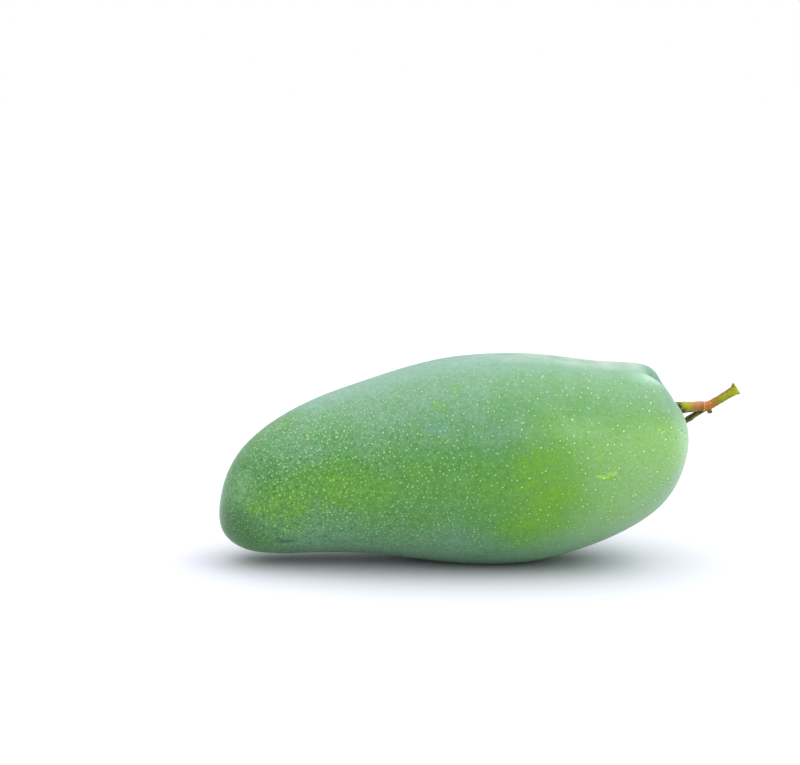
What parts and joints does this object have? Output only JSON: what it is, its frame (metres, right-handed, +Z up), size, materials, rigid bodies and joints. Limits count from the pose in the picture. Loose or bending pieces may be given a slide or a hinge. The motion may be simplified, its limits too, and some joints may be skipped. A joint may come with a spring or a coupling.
{
  "type": "mango",
  "caption": "Long green unripe mango lying on its belly, with a short forked stalk at the shoulder end.",
  "frame": {"origin": "middle of the small flat on the belly that the fruit rests on", "axes": "+X along the fruit's length, from the tip towards the stalk; +Z up out of the resting surface; +Y across, towards the far cheek"},
  "size_m": [0.1791, 0.0619, 0.0721],
  "materials": {
    "skin": "satin waxy skin with a pale bloom and small pale dots",
    "stalk": "green woody bark, dull"
  },
  "bodies": {
    "root": {"fruit": "skin", "stem": "stalk"}
  },
  "joints": []
}
